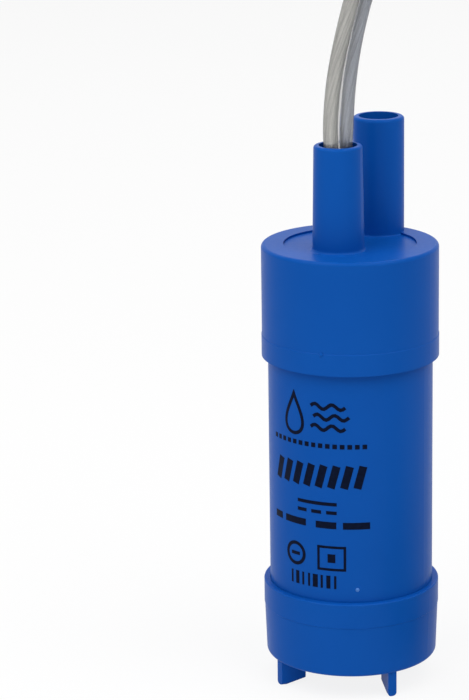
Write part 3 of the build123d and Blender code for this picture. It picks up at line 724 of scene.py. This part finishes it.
def tie_strap(held):
    """Black woven strap that holds the folded rest together."""
    half, deep, edge = strap_width / 2, strap_thickness / 2, strap_edge
    outline = [
        (half - edge, -deep), (half, -deep + edge), (half, deep - edge), (half - edge, deep),
        (-half + edge, deep), (-half, deep - edge), (-half, -deep + edge), (-half + edge, -deep),
    ]
    line = strap_route(held)
    along_x = Vector((1, 0, 0))
    strap = swept("tie_strap", line, frames_along(line, [(0.0, along_x), (1.0, along_x)]), outline)
    strap.data.materials.append(woven_strap())
    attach(strap, "housing")
    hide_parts("cable_tie")
    return strap


def split_ends(start, pvc, metals):
    """The two cores beyond the cable's end, split apart, each with its bare twisted wires."""
    pieces = []
    upright = Vector((0, 0, 1))
    keys = [(0.0, upright), (1.0, upright)]
    for name, side, route, metal in zip(("lower", "upper"), (-1, 1), core_routes, metals):
        corners = [(start[0] + x, start[1] + y, start[2] + side * core_radius + z) for x, y, z in route]
        line = spline_points(corners, core_line_steps)
        frames = frames_along(line, keys)
        core = swept(f"core_{name}", line, frames, circle(core_radius, core_outline_steps))
        core.data.materials.append(pvc)
        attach(core, "housing")
        outline = bundle_outline(strand_bundle_radius, strand_bulge, strand_count)
        strands = swept(f"core_strands_{name}", line, frames, outline, strand_pitch)
        strands.data.materials.append(metal)
        strands.parent = core
        tip = (line[-1] - line[-2]).normalized()
        bare = [line[-1] + tip * bare_length * step / bare_steps for step in range(bare_steps + 1)]
        outline = bundle_outline(bare_radius, bare_radius / 4, bare_wires)
        wires = swept(f"bare_wires_{name}", bare, frames_along(bare, keys), outline, bare_length)
        wires.data.materials.append(metal)
        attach(wires, "housing")
        pieces.extend((core, wires))
    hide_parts("cable_cores")
    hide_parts("bare_ends")
    return pieces


def on_casing(across, height, proud):
    """Place on the casing's face: the way round from its front line, the height, and how proud."""
    angle = across / casing_radius
    radius = casing_radius + proud
    return Vector((radius * sin(angle), -radius * cos(angle), print_foot + height))


def straight(start, end):
    """Closely spaced points from one point to another."""
    start, end = Vector(start), Vector(end)
    steps = max(2, round((end - start).length / print_step))
    return [start.lerp(end, step / steps) for step in range(steps + 1)]


def printed_line(build, points, width, closed=False):
    """Add a printed line of even width to a mesh, through points of (across, height)."""
    count = len(points)
    rows = []
    for index, point in enumerate(points):
        here = Vector(point)
        before = Vector(points[index - 1]) if index or closed else here
        after = Vector(points[(index + 1) % count]) if index < count - 1 or closed else here
        ways = [way for way in (here - before, after - here) if way.length > 0]
        sides = [Vector((-way.y, way.x)).normalized() for way in ways]
        middle = sum(sides, Vector((0, 0))).normalized()
        reach = middle * (width / 2 / max(middle.dot(sides[0]), print_mitre))
        left, right = here + reach, here - reach
        edges = ((left, print_proud), (right, print_proud), (right, -print_sunk), (left, -print_sunk))
        rows.append([build.verts.new(on_casing(*place, proud)) for place, proud in edges])
    pairs = list(zip(rows, rows[1:])) + ([(rows[-1], rows[0])] if closed else [])
    for row, after in pairs:
        for side in range(4):
            following = (side + 1) % 4
            build.faces.new((row[side], row[following], after[following], after[side]))
    if not closed:
        build.faces.new(list(reversed(rows[0])))
        build.faces.new(rows[-1])


def print_drop(build):
    """A water drop, its tip upwards, with three waves beside it."""
    drop_middle, drop_height = -4.6 * MM, 41.0 * MM
    half_width, half_height = 3.4 * MM, 4.4 * MM
    steps, shoulder = 48, 1.6
    drop = []
    for turn in (2 * pi * index / steps for index in range(steps)):
        across = half_width * sin(turn) * sin(turn / 2) ** shoulder
        drop.append((drop_middle + across, drop_height + half_height * cos(turn)))
    printed_line(build, drop, medium_line, closed=True)

    wave_gap, wave_swing, wave_length = 2.3 * MM, 0.55 * MM, 3.8 * MM
    waves = [(-0.2 * MM, 7.4 * MM), (0.4 * MM, 8.2 * MM), (-0.2 * MM, 7.4 * MM)]
    for row, (start, end) in enumerate(waves):
        level = drop_height + (row - 1) * wave_gap
        wave = [
            (across, height + wave_swing * sin(2 * pi * (across - start) / wave_length))
            for across, height in straight((start, level), (end, level))
        ]
        printed_line(build, wave, medium_line)


def print_dotted_rule(build):
    """A rule of short dashes."""
    height, width = 34.7 * MM, 1.0 * MM
    dashes, dash_share = 15, 0.62
    pitch = (print_right - print_left) / dashes
    for start in (print_left + index * pitch for index in range(dashes)):
        printed_line(build, straight((start, height), (start + dash_share * pitch, height)), width)


def print_hatching(build):
    """A row of bold leaning bars."""
    foot_height, bar_height, lean, bars = 25.5 * MM, 4.9 * MM, 1.3 * MM, 8
    pitch = (print_right - print_left - lean) / bars
    for foot in (print_left + (index + 1 / 2) * pitch for index in range(bars)):
        top = (foot + lean, foot_height + bar_height)
        printed_line(build, straight((foot, foot_height), top), bold_line)


def print_current_sign(build):
    """The sign of direct current: a line over three dashes."""
    middle, height, half, drop = 0.9 * MM, 21.9 * MM, 4.6 * MM, 1.9 * MM
    dashes = 3
    start = middle - half
    printed_line(build, straight((start, height), (middle + half, height)), medium_line)
    dash = 2 * half / (dashes + 1)
    for foot in (start + index * dashes / 2 * dash for index in range(dashes)):
        printed_line(build, straight((foot, height - drop), (foot + dash, height - drop)), medium_line)


def print_broken_rule(build):
    """A bold rule in four lengths."""
    height, width = 17.2 * MM, 1.5 * MM
    ends = [print_left, -8.6 * MM, -7.4 * MM, -1.6 * MM, 0.8 * MM, 5.4 * MM, 6.8 * MM, print_right]
    for start, end in zip(ends[::2], ends[1::2]):
        printed_line(build, straight((start, height), (end, height)), width)


def print_ring_and_frame(build):
    """A ring round a dash, and a frame round a block."""
    height = 9.8 * MM
    ring_middle, ring_radius, ring_steps = -4.4 * MM, 2.3 * MM, 40
    printed_line(build, circle(ring_radius, ring_steps, (ring_middle, height)), medium_line, closed=True)
    dash = straight((ring_middle - ring_radius / 2, height), (ring_middle + ring_radius / 2, height))
    printed_line(build, dash, medium_line)

    middle, half_width, half_height, block_share = 4.3 * MM, 2.9 * MM, 2.5 * MM, 1 / 2.6
    corners = [
        (middle + across * half_width, height + up * half_height)
        for across, up in ((-1, -1), (1, -1), (1, 1), (-1, 1))
    ]
    outline = []
    for corner, after in zip(corners, corners[1:] + corners[:1]):
        outline.extend(straight(corner, after)[:-1])
    printed_line(build, outline, thin_line, closed=True)
    half = half_height * block_share
    printed_line(build, straight((middle, height - half), (middle, height + half)), bold_line)


def print_ticks(build):
    """A row of upright ticks of several widths."""
    first, foot, height, pitch = -5.4 * MM, 3.0 * MM, 2.9 * MM, 1.5 * MM
    narrow, wide, widest = 0.5 * MM, 0.9 * MM, 1.2 * MM
    widths = (narrow, wide, narrow, narrow, widest, narrow, wide, narrow)
    for index, width in enumerate(widths):
        across = first + index * pitch
        printed_line(build, straight((across, foot), (across, foot + height)), width)


def casing_print():
    """Plain black marks on the casing's front."""
    mesh = bpy.data.meshes.new("casing_print")
    build = bmesh.new()
    print_drop(build)
    print_dotted_rule(build)
    print_hatching(build)
    print_current_sign(build)
    print_broken_rule(build)
    print_ring_and_frame(build)
    print_ticks(build)
    marks = finish_mesh("casing_print", mesh, build)
    marks.data.materials.append(bpy.data.materials["print_ink"])
    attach(marks, "housing")


def gate_pips():
    """Small round moulding marks: one low on the casing, in a lighter blue that is a painted highlight,
    and one on the upper cap's band.
    """
    mesh = bpy.data.meshes.new("gate_pips")
    build = bmesh.new()
    up = Vector((0, 0, 1))
    for number, (node, turn, height) in enumerate(pip_places):
        outwards = Vector((sin(turn), -cos(turn), 0))
        side = Vector((cos(turn), sin(turn), 0))
        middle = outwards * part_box(node)[1][0] + up * height
        loops = []
        for share in (ring / pip_rings for ring in range(pip_rings + 1)):
            radius = pip_radius * (1 - (1 - pip_crown) * share)
            rise = pip_rise * sin(share * pi / 2) - pip_sunk
            loops.append([
                build.verts.new(middle + across * side + high * up + rise * outwards)
                for across, high in circle(radius, pip_sides)
            ])
        faces = [build.faces.new(loops[-1]), build.faces.new(list(reversed(loops[0])))]
        for loop, after in zip(loops, loops[1:]):
            for index in range(pip_sides):
                following = (index + 1) % pip_sides
                corners = (loop[index], loop[following], after[following], after[index])
                faces.append(build.faces.new(corners))
        for face in faces:
            face.smooth = True
            face.material_index = number
    pips = finish_mesh("gate_pips", mesh, build)
    # the casing's pip wears the lighter blue of a painted highlight, and the cap's pip wears the plain
    # blue
    for name in ("glint_painted_plastic", "blue_plastic"):
        pips.data.materials.append(bpy.data.materials[name])
    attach(pips, "housing")


set_camera()
set_floor()
set_world()
set_lamps()
paint_all()
cable()
casing_print()
gate_pips()
